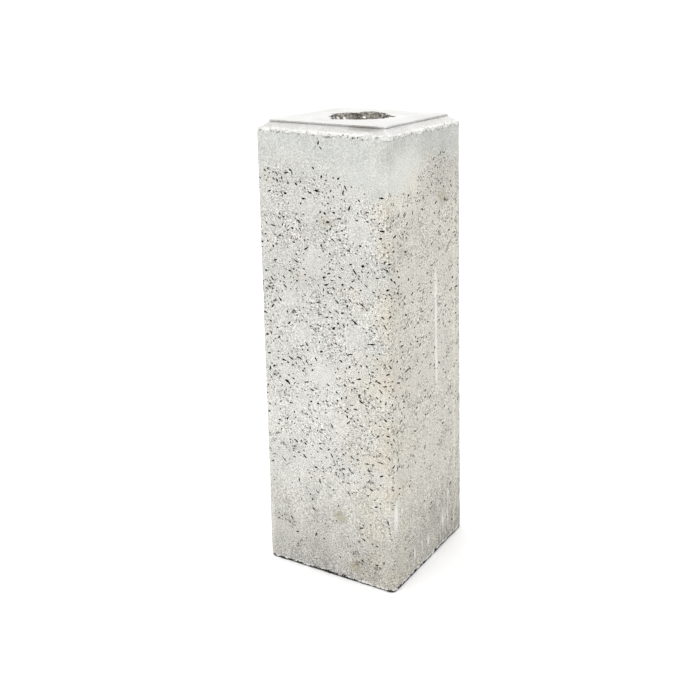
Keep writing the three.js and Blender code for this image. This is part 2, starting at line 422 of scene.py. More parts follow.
# The largest voids that the photo shows, by side. Each row has the place across, as a share of the half width
# to the right of the side's middle line, the place up, as a share of the height, the length and the width in
# millimetres, and the lean in degrees from level.
LARGEST_VOIDS = {
    WIDE_SIDE: (
        (-0.017, 0.9635, 4.4, 3, 75),
        (-0.06, 0.87, 8, 3, -5),
        (0.10, 0.81, 6, 3.4, 6),
        (0.54, 0.82, 4.2, 2.6, -17),
        (0.69, 0.82, 4.4, 2.6, -22),
        (0.75, 0.825, 4.2, 2.2, 27),
        (-0.77, 0.79, 10, 1.9, -11),
        (-0.59, 0.81, 4.4, 2.4, 42),
        (0.88, 0.79, 4, 3.4, 7),
        (-0.01, 0.76, 6, 2.4, -49),
        (0.17, 0.775, 10, 1.8, -29),
        (-0.25, 0.75, 9, 2.2, 31),
        (0.61, 0.73, 5, 4.4, -32),
        (0.26, 0.70, 6, 2.4, -26),
        (0.05, 0.68, 8, 2, 28),
        (0.76, 0.68, 7, 2.4, -15),
        (0.58, 0.65, 8, 2, -29),
        (0.15, 0.59, 7, 3.8, 46),
        (0.48, 0.61, 12, 2.4, -33),
        (0.73, 0.57, 11, 2.2, 5),
        (0.40, 0.54, 12, 2.2, 14),
        (-0.54, 0.505, 7.5, 2.4, -36),
        (-0.41, 0.51, 9, 2.2, -30),
        (-0.62, 0.45, 9, 4.6, -36),
        (-0.66, 0.457, 5, 2.4, 10),
        (0.82, 0.49, 10, 2.8, -19),
        (0.18, 0.43, 4.4, 3, -55),
        (0.79, 0.37, 6.5, 3.2, 45),
        (0.94, 0.375, 6.5, 2.6, -12),
        (0.83, 0.31, 13, 2.4, -8),
        (0.84, 0.28, 6, 3.2, 31),
        (-0.19, 0.26, 7, 2.8, -16),
        (0.64, 0.26, 10, 2, 54),
        (-0.17, 0.20, 7, 2.2, -35),
        (-0.71, 0.26, 8.5, 1.8, -41),
        (-0.03, 0.68, 8, 2, 12),
        (0.10, 0.705, 5, 2.6, 20),
        (0.17, 0.675, 6, 2, -40),
        (0.66, 0.69, 5.5, 2, -35),
        (0.82, 0.71, 8, 2.2, 8),
        (0.41, 0.655, 7, 2.4, -38),
        (-0.08, 0.64, 6, 2.4, -5),
        (-0.07, 0.615, 7, 2, 2),
        (0.85, 0.47, 7, 2.4, -45),
        (0.92, 0.485, 5.5, 2.6, 20),
        (0.93, 0.61, 6, 2.2, -55),
        (-0.86, 0.755, 5, 2.4, -40),
        (-0.44, 0.76, 6.5, 2.4, -22),
        (0.36, 0.982, 2.6, 1.8, 10),
        (0.43, 0.979, 3, 1.8, -20),
        (0.50, 0.977, 2.6, 1.8, 0),
        (0.57, 0.979, 3, 2, 25),
        (0.64, 0.976, 2.6, 1.8, -10),
    ),
    NARROW_SIDE: (
        (0.65, 0.73, 11, 1.6, 30),
        (-0.42, 0.66, 6.5, 3, 31),
        (-0.72, 0.67, 6.5, 2.2, 19),
        (-0.41, 0.64, 5, 2.6, -15),
        (-0.45, 0.60, 9, 2, 23),
        (-0.70, 0.56, 8, 2.6, 7),
        (-0.30, 0.55, 5, 2.8, -17),
        (-0.58, 0.50, 15, 2.6, 10),
        (-0.71, 0.45, 7, 2.2, 9),
        (-0.58, 0.28, 10, 2, 35),
        (-0.09, 0.37, 5, 2.6, -21),
        (-0.39, 0.35, 5, 2.6, -22),
    ),
}

# Round patches of the wide side that are nearly free of voids. Across and up are shares, the reach is in mm.
BARE_PATCHES = (
    {"across": -0.14, "up": 0.725, "reach": 16},
    {"across": 0.55, "up": 0.80, "reach": 16},
    {"across": 0.50, "up": 0.58, "reach": 13},
    {"across": -0.15, "up": 0.835, "reach": 11},
    {"across": 0.21, "up": 0.38, "reach": 15},
    {"across": -0.53, "up": 0.64, "reach": 10},
    {"across": -0.35, "up": 0.57, "reach": 12},
    {"across": -0.05, "up": 0.48, "reach": 13},
    {"across": -0.42, "up": 0.41, "reach": 12},
)

# The arms of the branched break high on the wide side. Two are crumbled and one is open.
CRUMBLED_ARMS = (
    {"across": -5.6 * MM, "up": 573.3 * MM, "lean": 50, "half_sizes": (3.6 * MM, 1.3 * MM, 1.1 * MM)},
    {"across": -2.4 * MM, "up": 583 * MM, "lean": 107, "half_sizes": (3.4 * MM, 1.2 * MM, MM)},
)
OPEN_ARM = {"across": 1.6 * MM, "up": 572.4 * MM, "lean": -42, "half_sizes": (3.6 * MM, 1.4 * MM, 0.9 * MM)}

# How thickly the voids lie on each side, as a share of how they lie on the wide one
VOID_PLENTY = {WIDE_SIDE: 1.0, NARROW_SIDE: 0.17, FAR_SIDE: 0.4, BACK_SIDE: 0.4}

DENSE_FOOT = 0.262  # where the voids thin out towards the foot, as a share of the height


class Lumps:
    """A set of angular lumps that stay clear of each other and are cut out of the block together."""

    cell = 16 * MM

    def __init__(self, seed):
        self.random = random.Random(seed)
        self.kinds = [self.angular_lump() for _ in range(LUMP_KINDS)]
        self.bm = bmesh.new()
        self.places = {}

    def angular_lump(self):
        bm = bmesh.new()
        made = bmesh.ops.create_icosphere(bm, subdivisions=1, radius=1)["verts"]
        for v in made:
            v.co *= self.random.uniform(0.72, 1.18)
        mesh = bpy.data.meshes.new("lump")
        bm.to_mesh(mesh)
        bm.free()
        return mesh

    def is_free(self, centre, radius):
        """True if no lump lies within reach of a new one. A new one is then taken down."""
        key = tuple(round(c / self.cell) for c in centre)
        for dx in (-1, 0, 1):
            for dy in (-1, 0, 1):
                for dz in (-1, 0, 1):
                    near = self.places.get((key[0] + dx, key[1] + dy, key[2] + dz), ())
                    if any((centre - other).length < radius + reach for other, reach in near):
                        return False
        self.places.setdefault(key, []).append((centre, radius))
        return True

    def add(self, place, half_sizes):
        """Adds a lump if its place, a matrix, is free. The half sizes are along its X, Y and Z."""
        radius = max(half_sizes) * 1.2
        if not self.is_free(place.to_translation(), radius):
            return False
        lump = self.random.choice(self.kinds).copy()
        lump.transform(place @ Matrix.Diagonal((*half_sizes, 1)))
        self.bm.from_mesh(lump)
        bpy.data.meshes.remove(lump)
        return True

    def cut_from(self, block, name, void):
        for kind in self.kinds:
            bpy.data.meshes.remove(kind)
        cut_away(block, new_object(name, self.bm, void))


def place_on_side(side, across, z, lean, sunk=0.0):
    """A place on an upright side, or sunk in it. X runs along the lean, Y inwards and Z square to them."""
    turned = Matrix.Rotation(side * QUARTER_TURN, 4, "Z")
    moved = Matrix.Translation((across, sunk - half_width_at(z), z))
    tilted = Matrix.Rotation(-draft(), 4, "X")
    leaning = Matrix.Rotation(-math.radians(lean), 4, "Y")
    return turned @ moved @ tilted @ leaning


def place_on_arris(side, turn, z, lean):
    """A place on the arris to the right of a side. The turn runs from that side to the next one."""
    centre = half_width_at(z) - sizes().arris_radius
    corner = Matrix.Rotation(side * QUARTER_TURN, 4, "Z") @ Matrix.Translation((centre, -centre, z))
    outwards = Matrix.Rotation(turn, 4, "Z") @ Matrix.Translation((0, -sizes().arris_radius, 0))
    return corner @ outwards @ Matrix.Rotation(-math.radians(lean), 4, "Y")


def add_arm(lumps, across, up, lean, half_sizes):
    lumps.add(place_on_side(WIDE_SIDE, across, up, lean), half_sizes)


def void_share(side, across, z):
    """How likely an air void is at a place, from 0 to 1. Across and z are shares."""
    spot = Vector((side * 7 + across, z * HEIGHT / half_width_at(0), 0))
    near = {WIDE_SIDE: 1 - across, NARROW_SIDE: 1 + across}.get(side, 2)
    dense_top = (DENSE_BAND + DENSE_RISE * min(1, near / DENSE_RUN)) / HEIGHT + 0.02 * noise.noise(spot * 2)
    low = DENSE_FOOT + 0.05 * noise.noise(spot * 1.7 + UP)
    rise = min(1, max(0, (dense_top - z) / 0.015)) * min(1, max(0.13, (z - low + 0.10) / 0.14))
    patchy = min(1, max(0.08, 0.5 + 1.3 * noise.noise(spot * 3.1) + 1.3 * noise.noise(spot * 9)))
    plenty = VOID_PLENTY[side]
    if side == NARROW_SIDE:
        plenty += 0.55 * max(0, (-across - 0.45) / 0.55)
    elif side == WIDE_SIDE:
        plenty += 0.22 * across - 0.06
    for patch in BARE_PATCHES if side == WIDE_SIDE else ():
        sideways = (across - patch["across"]) * half_width_at(z * HEIGHT)
        apart = math.hypot(sideways, (z - patch["up"]) * HEIGHT) / (patch["reach"] * MM)
        plenty *= min(1, max(0.05, (apart - 0.75 + 0.6 * noise.noise(spot * 12)) / 0.5))
    return rise * patchy * plenty


def void_sizes(draw):
    """The length, width and depth of a scattered void. Small ones are many and large ones few."""
    long = (2.4 + 4.3 * draw.random() ** 2.1) * MM
    if draw.random() < 0.04:
        long *= 1.7
    wide = min(max(long * draw.uniform(0.38, 0.8), 1.8 * MM), 2.7 * MM)
    return long, wide, wide * draw.uniform(0.7, 1.1)


def open_voids(block):
    """Cuts the air voids out of the sides and arrises. Some of them have branches, which are cut last."""
    voids = Lumps(marks().seed)
    branches = Lumps(marks().seed + 2)
    draw = voids.random

    def open_void(place, long, wide, deep):
        if not voids.add(place, (long / 2, deep, wide / 2)):
            return
        if long > 3 * MM and draw.random() < 0.55:
            end = Matrix.Translation((draw.choice((-0.45, 0.45)) * long, 0, 0))
            turned = Matrix.Rotation(math.radians(draw.uniform(-70, 70)), 4, "Y")
            reach = long * draw.uniform(0.2, 0.36)
            branches.add(place @ end @ turned, (reach, deep * 0.8, max(wide * 0.35, 0.5 * MM)))

    for side, largest in LARGEST_VOIDS.items():
        for across, up, long, wide, lean in largest:
            z = up * HEIGHT
            place = place_on_side(side, across * half_width_at(z), z, lean)
            open_void(place, long * MM, wide * MM, wide * MM * 0.8)
    for side in range(4):
        lean = 8 if side in (NARROW_SIDE, BACK_SIDE) else -14
        for _ in range(marks().void_tries):
            across = draw.uniform(-0.97, 0.97)
            up = draw.uniform(0.04, 0.97)
            if draw.random() > void_share(side, across, up):
                continue
            z = up * HEIGHT
            turn = draw.gauss(lean, 30) if draw.random() < 0.6 else draw.uniform(-90, 90)
            place = place_on_side(side, across * half_width_at(z), z, turn)
            open_void(place, *void_sizes(draw))
        for _ in range(marks().arris_voids if side == WIDE_SIDE else marks().arris_voids // 3):
            z = draw.triangular(0.12, 0.84, 0.5) * HEIGHT
            place = place_on_arris(side, draw.uniform(0, QUARTER_TURN), z, draw.uniform(-60, 60))
            open_void(place, *void_sizes(draw))
    add_arm(branches, **OPEN_ARM)
    voids.cut_from(block, "air_voids", void=SHADED_VOID_WALL)
    branches.cut_from(block, "void_branches", void=SHADED_VOID_WALL)


def crumble_rim(lumps):
    """Breaks crumbs out all round the socket's rim."""
    draw = lumps.random
    towards = 0
    while towards < 2 * math.pi:
        towards += draw.uniform(0.03, 0.14)
        edge = Vector((math.cos(towards), math.sin(towards), 0)) * sizes().socket_mouth / 2
        reach = edge.length + rim_reach(edge) + draw.uniform(-1, 1.4) * MM
        size = draw.uniform(0.7, 2.0) * MM
        place = Matrix.Translation(edge.normalized() * reach + UP * (HEIGHT - draw.uniform(0, 0.5) * size))
        lumps.add(place @ Matrix.Rotation(towards, 4, "Z"), (size, size * draw.uniform(1, 2), size * 0.8))


def crumble_chamfer(lumps, side):
    """Breaks crumbs out along the chamfer's lower edge on one side."""
    draw = lumps.random
    across = -half_width_at(chamfer_foot())
    while across < half_width_at(chamfer_foot()):
        across += draw.uniform(1.8, 7) * MM
        z = chamfer_foot() - draw.uniform(-0.6, 1.4) * MM
        size = draw.uniform(0.7, 1.6) * MM
        place = place_on_side(side, across, z, draw.uniform(-40, 40))
        lumps.add(place, (size * draw.uniform(1, 1.8), size * 0.8, size * 0.8))


def crumble_foot(lumps, side):
    """Breaks crumbs out along the foot of one side."""
    draw = lumps.random
    across = -half_width_at(0)
    while across < half_width_at(0):
        across += draw.uniform(2.5, 9) * MM
        size = draw.uniform(1, 2.8) * MM
        place = place_on_side(side, across, draw.uniform(0, 1.2) * MM, draw.uniform(-15, 15))
        lumps.add(place, (size * draw.uniform(1, 2), size, size * 0.8))


def crumble_arris(lumps, side):
    """Breaks crumbs out up the arris to the right of one side."""
    draw = lumps.random
    z = 0
    while z < chamfer_foot():
        z += draw.uniform(8, 45) * MM
        size = draw.uniform(0.8, 1.8) * MM
        place = place_on_side(side, half_width_at(z) - CRUMB_INSET, z, draw.uniform(50, 110), CRUMB_INSET)
        lumps.add(place, (size * draw.uniform(1, 2.4), size * 0.8, size * 0.8))


def crumble_edges(block):
    """Breaks crumbs out of the socket's rim, the chamfer's lower edge, the foot and the arrises."""
    lumps = Lumps(marks().seed + 1)
    for arm in CRUMBLED_ARMS:
        add_arm(lumps, **arm)
    crumble_rim(lumps)
    for side in range(4):
        crumble_chamfer(lumps, side)
        crumble_foot(lumps, side)
        crumble_arris(lumps, side)
    lumps.cut_from(block, "edge_crumbs", void=CRUMBLED)


def clean_triangles(block):
    """Makes the block's faces triangles, without the slivers and doubled faces that the cuts leave."""
    bm = bmesh.new()
    bm.from_mesh(block.data)
    bmesh.ops.remove_doubles(bm, verts=bm.verts, dist=SLIVER)
    bmesh.ops.dissolve_degenerate(bm, dist=SLIVER, edges=bm.edges)
    bmesh.ops.triangulate(bm, faces=bm.faces, quad_method="BEAUTY", ngon_method="BEAUTY")
    alike = {}
    for face in bm.faces:
        alike.setdefault(frozenset(face.verts), []).append(face)
    doubled = [face for faces in alike.values() if len(faces) > 1 for face in faces]
    bmesh.ops.delete(bm, geom=doubled, context="FACES")
    bm.to_mesh(block.data)
    bm.free()


def smooth_with_sharp_edges(block):
    block.data.polygons.foreach_set("use_smooth", [True] * len(block.data.polygons))
    block.data.set_sharp_from_angle(angle=math.radians(32))


class COLUMNBASE_OT_cast_block(bpy.types.Operator):
    """Casts the block with its socket, its air voids and its crumbled edges"""

    bl_idname = "columnbase.cast_block"
    bl_label = "Cast the block"

    def execute(self, context):
        block = cast_body()
        open_socket(block)
        crumble_edges(block)
        open_voids(block)
        clean_triangles(block)
        smooth_with_sharp_edges(block)
        block.data.materials.clear()
        block.data.materials.append(concrete())
        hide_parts(NODE)
        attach(block, "root")
        return {"FINISHED"}


# The finish


class FinishColours(bpy.types.PropertyGroup):
    """The colours of the dry concrete, and of the painted shade in its hollows, under its lip and along its
    foot
    """

    cement: colour("Cement", "Colour of the concrete between its voids", (0.64, 0.635, 0.60))
    dense_skin: colour("Dense skin", "Colour of the smooth band below the chamfer", (0.62, 0.628, 0.595))
    fresh_edge: colour("Fresh edge", "Colour of the pale cement on the chamfer", (0.70, 0.697, 0.68))
    warm_stain: colour("Warm stain", "Tint near the front arris and on the right side", (1.0, 0.945, 0.865))
    stain: colour("Stain", "Colour of the few brown stains", (0.3, 0.255, 0.12))
    # grime, also used as painted shade in the groove under the lip and on the chamfer below it
    soil_and_shade: colour("Soil", "Colour of the dirt in the groove under the lip", (0.17, 0.15, 0.125))
    # painted shade, nearly black, deep inside the air voids, in the small holes and along the foot
    deep_shade: colour("Void wall", "Colour deep inside the air voids", (0.024, 0.022, 0.02))
    # painted shade on the socket's rough wall, and in part on the crumbled edges
    socket_shade: colour("Socket wall", "Colour of the socket's rough wall", (0.225, 0.214, 0.187))
    lime: colour("Lime", "Colour of the lime streaks and the palest grains", (0.86, 0.85, 0.82))


# The dense band's lower edge at the front arris, how much it rises away from there, and over how many half
# widths
DENSE_BAND = 0.524
DENSE_RISE = 0.031
DENSE_RUN = 1.15

# The direction to which the long marks in the sides lie square
VOID_LEAN = (0.34, -0.17, 0.92)

# Lime streaks by side. Each would cross the foot and the top at those shares across. Low and high are the
# heights of its ends in metres, width is its half width as a share, and share is its strength.
LIME_STREAKS = {
    NARROW_SIDE: (
        {"foot": 0.245, "top": 0.228, "width": 0.044, "low": 0.25, "high": 0.409, "share": 0.8},
        {"foot": 0.77, "top": 0.80, "width": 0.04, "low": 0.1, "high": 0.53, "share": 0.25},
        {"foot": -0.915, "top": -0.93, "width": 0.06, "low": 0.09, "high": 0.13, "share": 0.85},
        {"foot": -0.92, "top": -0.94, "width": 0.045, "low": 0.15, "high": 0.2, "share": 0.45},
        {"foot": -0.04, "top": -0.04, "width": 0.035, "low": 0.024, "high": 0.036, "share": 1},
        {"foot": -0.43, "top": -0.43, "width": 0.035, "low": 0.022, "high": 0.04, "share": 0.7},
        {"foot": -0.22, "top": -0.2, "width": 0.03, "low": 0.026, "high": 0.042, "share": 0.5},
        {"foot": 0.4, "top": 0.42, "width": 0.03, "low": 0.026, "high": 0.055, "share": 0.5},
        {"foot": 0.55, "top": 0.6, "width": 0.03, "low": 0.03, "high": 0.08, "share": 0.4},
    ),
    WIDE_SIDE: (
        {"foot": 0.7, "top": 0.75, "width": 0.014, "low": 0.065, "high": 0.145, "share": 0.35},
        {"foot": -0.94, "top": -0.95, "width": 0.03, "low": 0.02, "high": 0.09, "share": 0.35},
    ),
}

# Where pale stones show in the socket's wall, and how wide
STONES = (
    ((-0.0164, 0.0357, 0.595), 0.0028),
    ((-0.0355, -0.004, 0.5965), 0.003),
    ((-0.0365, 0.006, 0.5955), 0.0032),
    ((-0.0335, 0.0155, 0.5948), 0.0026),
)

# Where the groove under the lip is dirtiest
GRIME = (0.055, -0.084, 0.597)

# Heights in metres between which an effect grows, from nothing at the first to full strength at the second
WARM_SPREAD = (0.42, 0.24)  # the warm tint reaches further from the front arris
WARM_FOOT = (0.20, 0.06)  # the warm tint covers the whole foot
LIGHTER_MIDDLE = (0.50, 0.27)  # paler from the middle down
DARK_FOOT = (0.17, -0.01)
COARSE_FOOT = (0.17, 0.07)
DRAGGED_FOOT = (0.22, 0.06)
RIPPLED_FOOT = (0.12, 0.08)
CHAMFER_FRINGE = (0.5925, 0.5905)  # a paler line low on the chamfer
WASH_AND_SHADE = (0.589, 0.592)  # grime and painted shade on the chamfer, growing towards the lip
THICK_WASH_AND_SHADE = (0.5925, 0.5965)
GRIME_RISE = (0.5925, 0.5955)
GROOVE = (0.5966, 0.5980)
FLECKS = (0.0058, 0.0048)
FOOT_SHADOW = (0.0040, 0.0033)  # the painted shadow along the foot, a dark broken line

# How far the flash of pale cement and the shadow under it begin and end below the chamfer's foot
FLASH_DROPS = (0.0026, 0.0022, 0.0050, 0.0034)

# A mark that stays off the level top face grows between these values of the normal's Z
OFF_TOP_FACE = (0.95, 0.85)

DARKEST_SHADE = 0.2
SKIN_RELIEF = 0.15 * MM
SAND_RELIEF = 0.4 * MM  # how much more relief the sand has where the surface is open
HOLE_DEPTH = 1.2 * MM

# Wide paler and darker patches: the middle, the reach, and how much lighter
BLOTCHES = (
    ((0.093, -0.055, 0.535), 0.06, 0.13),
    ((0.092, 0.025, 0.585), 0.05, -0.1),
    ((0.092, -0.06, 0.588), 0.03, -0.12),
    ((0.093, 0.06, 0.53), 0.05, -0.1),
    ((0.093, -0.093, 0.56), 0.022, -0.12),
    ((0.09, -0.094, 0.335), 0.05, -0.04),
    ((0.05, -0.099, 0.02), 0.035, -0.06),
    ((-0.05, -0.094, 0.45), 0.09, -0.035),
    ((-0.04, -0.097, 0.24), 0.085, 0.03),
    ((0.062, -0.0965, 0.215), 0.065, -0.045),
    ((0.098, 0, 0.24), 0.11, -0.035),
    ((0, -0.0985, 0.115), 0.06, -0.025),
)

# Brown stains on the two sides that the photo shows: the middle, the reach, and how strong
STAINS = (
    ((0.0157, -0.0988, 0.0925), 0.014, 0.42),
    ((0.041, -0.0997, 0.0233), 0.013, 0.38),
    ((0.0069, -0.0935, 0.486), 0.012, 0.22),
    ((0.0932, 0.043, 0.504), 0.015, 0.3),
)

# Patches of the dense ends where small pinholes show: the middle, the reach, and how many pinholes
PITTED = (
    ((0.055, -0.0987, 0.048), 0.038, 0.98),
    ((-0.065, -0.0983, 0.0636), 0.018, 1.0),
    ((-0.049, -0.099, 0.0369), 0.016, 0.9),
    ((0.0985, -0.0046, 0.0575), 0.045, 0.9),
    ((0.0987, -0.056, 0.0507), 0.03, 0.9),
    ((0.098, 0.045, 0.07), 0.032, 0.75),
    ((0.093, 0.035, 0.545), 0.042, 0.95),
)


class Nodes:
    """Lays shader nodes and joins them. A value is a number, a colour or another node's output."""

    # A Mix node's colour sockets share their names with its other kinds, so they go by their places.
    first_colour, second_colour, mixed_colour = 6, 7, 2

    def __init__(self, tree):
        self.tree = tree

    def add(self, kind, values, **settings):
        node = self.tree.nodes.new(kind)
        for name, value in settings.items():
            setattr(node, name, value)
        for socket, value in values.items():
            self.put(node.inputs[socket], value)
        return node

    def put(self, socket, value):
        if isinstance(value, bpy.types.NodeSocket):
            self.tree.links.new(value, socket)
        else:
            socket.default_value = value

    def math(self, operation, *values, clamp=False):
        node = self.add("ShaderNodeMath", dict(enumerate(values)), operation=operation, use_clamp=clamp)
        return node.outputs["Value"]

    def times(self, value, factor):
        return self.math("MULTIPLY", value, factor)

    def times_plus(self, value, factor, start):
        """A value times a factor, added to a start."""
        return self.math("MULTIPLY_ADD", value, factor, start)

    def larger(self, first, second):
        return self.math("MAXIMUM", first, second)

    def step(self, value, low, high):
        """Rises smoothly from 0 at low to 1 at high."""
        values = {"Value": value, "From Min": low, "From Max": high}
        return self.add("ShaderNodeMapRange", values, interpolation_type="SMOOTHSTEP").outputs["Result"]

    def stretched(self, vector, scale, offset=(0, 0, 0)):
        values = {"Vector": vector, "Scale": scale, "Location": offset}
        return self.add("ShaderNodeMapping", values).outputs["Vector"]

    def flattened(self, vector, direction, factor):
        """Squeezes a pattern along a direction, so that its marks lie square to it."""
        direction = Vector(direction).normalized()
        depth = self.add("ShaderNodeVectorMath", {0: vector, 1: direction}, operation="DOT_PRODUCT")
        values = {"Vector": direction, "Scale": self.times(depth.outputs["Value"], factor - 1)}
        shift = self.add("ShaderNodeVectorMath", values, operation="SCALE").outputs["Vector"]
        return self.add("ShaderNodeVectorMath", {0: vector, 1: shift}, operation="ADD").outputs["Vector"]

    def noise(self, vector, size, detail, roughness=0.5):
        """Clouds of a size in metres, evenly about 0."""
        values = {"Vector": vector, "Scale": 1 / size, "Detail": detail, "Roughness": roughness}
        clouds = self.add("ShaderNodeTexNoise", values).outputs["Fac"]
        return self.times_plus(clouds, 2.0, -1.0)

    def mix(self, share, first, second, blend="MIX"):
        node = self.tree.nodes.new("ShaderNodeMix")
        node.data_type = "RGBA"
        node.blend_type = blend
        node.clamp_factor = True
        self.put(node.inputs["Factor"], share)
        for place, value in ((self.first_colour, first), (self.second_colour, second)):
            self.put(node.inputs[place], (*value, 1) if isinstance(value, tuple) else value)
        return node.outputs[self.mixed_colour]

    def scaled(self, tone, factor):
        values = {"Vector": tone, "Scale": factor}
        return self.add("ShaderNodeVectorMath", values, operation="SCALE").outputs["Vector"]


def grains():
    """A node group that scatters round grains or pinholes of uneven sizes."""
    group = bpy.data.node_groups.new("scattered grains", "ShaderNodeTree")
    sockets = (
        ("Position", "NodeSocketVector", None),
        ("Spacing", "NodeSocketFloat", 0.003),
        ("Share", "NodeSocketFloat", 0.5),
        ("Reach", "NodeSocketFloat", 0.4),
    )
    for name, kind, default in sockets:
        socket = group.interface.new_socket(name, in_out="INPUT", socket_type=kind)
        if default is not None:
            socket.default_value = default
    group.interface.new_socket("Mask", in_out="OUTPUT", socket_type="NodeSocketFloat")
    nodes = Nodes(group)
    inside = nodes.add("NodeGroupInput", {}).outputs
    scale = nodes.math("DIVIDE", 1.0, inside["Spacing"])
    shaken = nodes.add("ShaderNodeTexNoise", {"Vector": inside["Position"], "Scale": scale, "Detail": 1.0})
    shift = nodes.scaled(shaken.outputs["Color"], nodes.times(inside["Spacing"], 0.9))
    moved = nodes.add(
        "ShaderNodeVectorMath", {0: inside["Position"], 1: shift}, operation="ADD"
    ).outputs["Vector"]
    cells = nodes.add("ShaderNodeTexVoronoi", {"Vector": moved, "Scale": scale})
    draw = nodes.add("ShaderNodeSeparateColor", {"Color": cells.outputs["Color"]}).outputs
    left = nodes.math("SUBTRACT", inside["Share"], draw["Red"])
    radius = nodes.times(nodes.step(left, 0.0, 0.5), inside["Reach"])
    edge = nodes.times(radius, 0.6)
    values = {"Value": cells.outputs["Distance"], "From Min": radius, "From Max": edge}
    mask = nodes.add("ShaderNodeMapRange", values).outputs["Result"]
    deep = nodes.times(mask, nodes.times_plus(draw["Green"], 0.6, 0.4))
    nodes.add("NodeGroupOutput", {"Mask": deep})
    return group


def scattered(nodes, group, position, spacing, share, reach):
    """The mask of grains or pinholes that lie in a share of the cells, which are spaced in metres."""
    node = nodes.tree.nodes.new("ShaderNodeGroup")
    node.node_tree = group
    values = {"Position": position, "Spacing": spacing, "Share": share, "Reach": reach}
    for name, value in values.items():
        nodes.put(node.inputs[name], value)
    return node.outputs["Mask"]


def distance(nodes, place, middle):
    return nodes.add("ShaderNodeVectorMath", {0: place, 1: middle}, operation="DISTANCE").outputs["Value"]


def side_masks(nodes, place):
    """Where on the block a place is, and how sandy, open, pitted and bare the surface is there."""
    x, y, z = nodes.add("ShaderNodeSeparateXYZ", {"Vector": place}).outputs
    half = nodes.times_plus(z, -math.tan(draft()), sizes().foot_width / 2)
    across = nodes.math("DIVIDE", x, half)
    along = nodes.math("DIVIDE", y, half)
    near = nodes.larger(nodes.math("SUBTRACT", 1.0, across), nodes.math("ADD", 1.0, along))
    boundary = nodes.times_plus(nodes.step(near, 0.0, DENSE_RUN), DENSE_RISE, DENSE_BAND)
    boundary = nodes.times_plus(nodes.noise(place, 0.05, 4.0), 0.03, boundary)
    below = nodes.math("SUBTRACT", boundary, z)
    sandy = nodes.step(below, -0.016, 0.02)
    low = nodes.times_plus(nodes.noise(place, 0.06, 3.0), 0.06, 0.125)
    above_low = nodes.step(nodes.math("SUBTRACT", z, low), -0.05, 0.05)
    open_part = nodes.times(sandy, nodes.times_plus(above_low, 0.45, 0.55))
    patches = nodes.step(nodes.noise(place, 0.024, 3.0), -0.25, 0.25)
    open_part = nodes.times(open_part, nodes.times_plus(patches, 0.6, 0.4))
    wander = nodes.noise(place, 0.02, 3.0, 0.6)
    bare = 0.0
    for patch in BARE_PATCHES:
        height = patch["up"] * HEIGHT
        middle = (patch["across"] * half_width_at(height), -half_width_at(height), height)
        reach = patch["reach"] * MM
        apart = nodes.times_plus(wander, reach * 0.6, distance(nodes, place, middle))
        bare = nodes.larger(nodes.step(apart, reach * 1.25, reach * 0.75), bare)
    open_part = nodes.times(open_part, nodes.times_plus(bare, -0.85, 1.0))
    right = nodes.step(across, 0.955, 0.99)
    rear = nodes.step(nodes.math("ADD", across, along), -0.01, 0.01)
    pitted = open_part
    for middle, reach, share in PITTED:
        apart = nodes.times_plus(wander, reach * 0.8, distance(nodes, place, middle))
        patch = nodes.times(nodes.step(apart, reach, reach * 0.5), share)
        pitted = nodes.larger(pitted, patch)
    return {
        "z": z,
        "across": across,
        "along": along,
        "near": near,
        "sandy": sandy,
        "open": open_part,
        "pitted": pitted,
        "bare": bare,
        "wander": wander,
        "right": right,
        "rear": rear,
    }


def streak(nodes, masks, side, foot, top, width, low, high, share):
    """A streak up one of the two front sides. It would cross the foot and the top at those shares across."""
    run, face = (masks["across"], masks["along"]) if side == WIDE_SIDE else (masks["along"], masks["across"])
    on_side = nodes.step(face, -0.97, -0.985) if side == WIDE_SIDE else nodes.step(face, 0.97, 0.985)
    middle = nodes.times_plus(masks["z"], (top - foot) / HEIGHT, foot)
    off = nodes.math("ABSOLUTE", nodes.math("SUBTRACT", run, middle))
    line = nodes.times(nodes.step(off, width, width * 0.4), on_side)
    line = nodes.times(line, share)
    line = nodes.times(line, nodes.step(masks["z"], low - 0.01, low + 0.01))
    return nodes.times(line, nodes.step(masks["z"], high + 0.01, high - 0.01))


def warm_tint(nodes, place, masks):
    """How far the surface is tinted: near the front arris, on the right side, in clouds and by the foot."""
    z = masks["z"]
    reach = nodes.times_plus(nodes.step(z, *WARM_SPREAD), 0.8, 0.34)
    warm = nodes.step(masks["near"], reach, 0.02)
    warm = nodes.times(warm, nodes.step(nodes.noise(place, 0.045, 3.0), -0.45, 0.2))
    warm = nodes.larger(warm, nodes.times(masks["right"], 0.55))
    clouds = nodes.step(nodes.noise(place, 0.035, 4.0), 0.05, 0.5)
    warm = nodes.larger(warm, nodes.times(clouds, 0.35))
    warm = nodes.larger(warm, nodes.times(nodes.step(z, *WARM_FOOT), 0.2))
    return nodes.times(warm, nodes.times_plus(masks["sandy"], 0.85, 0.15))


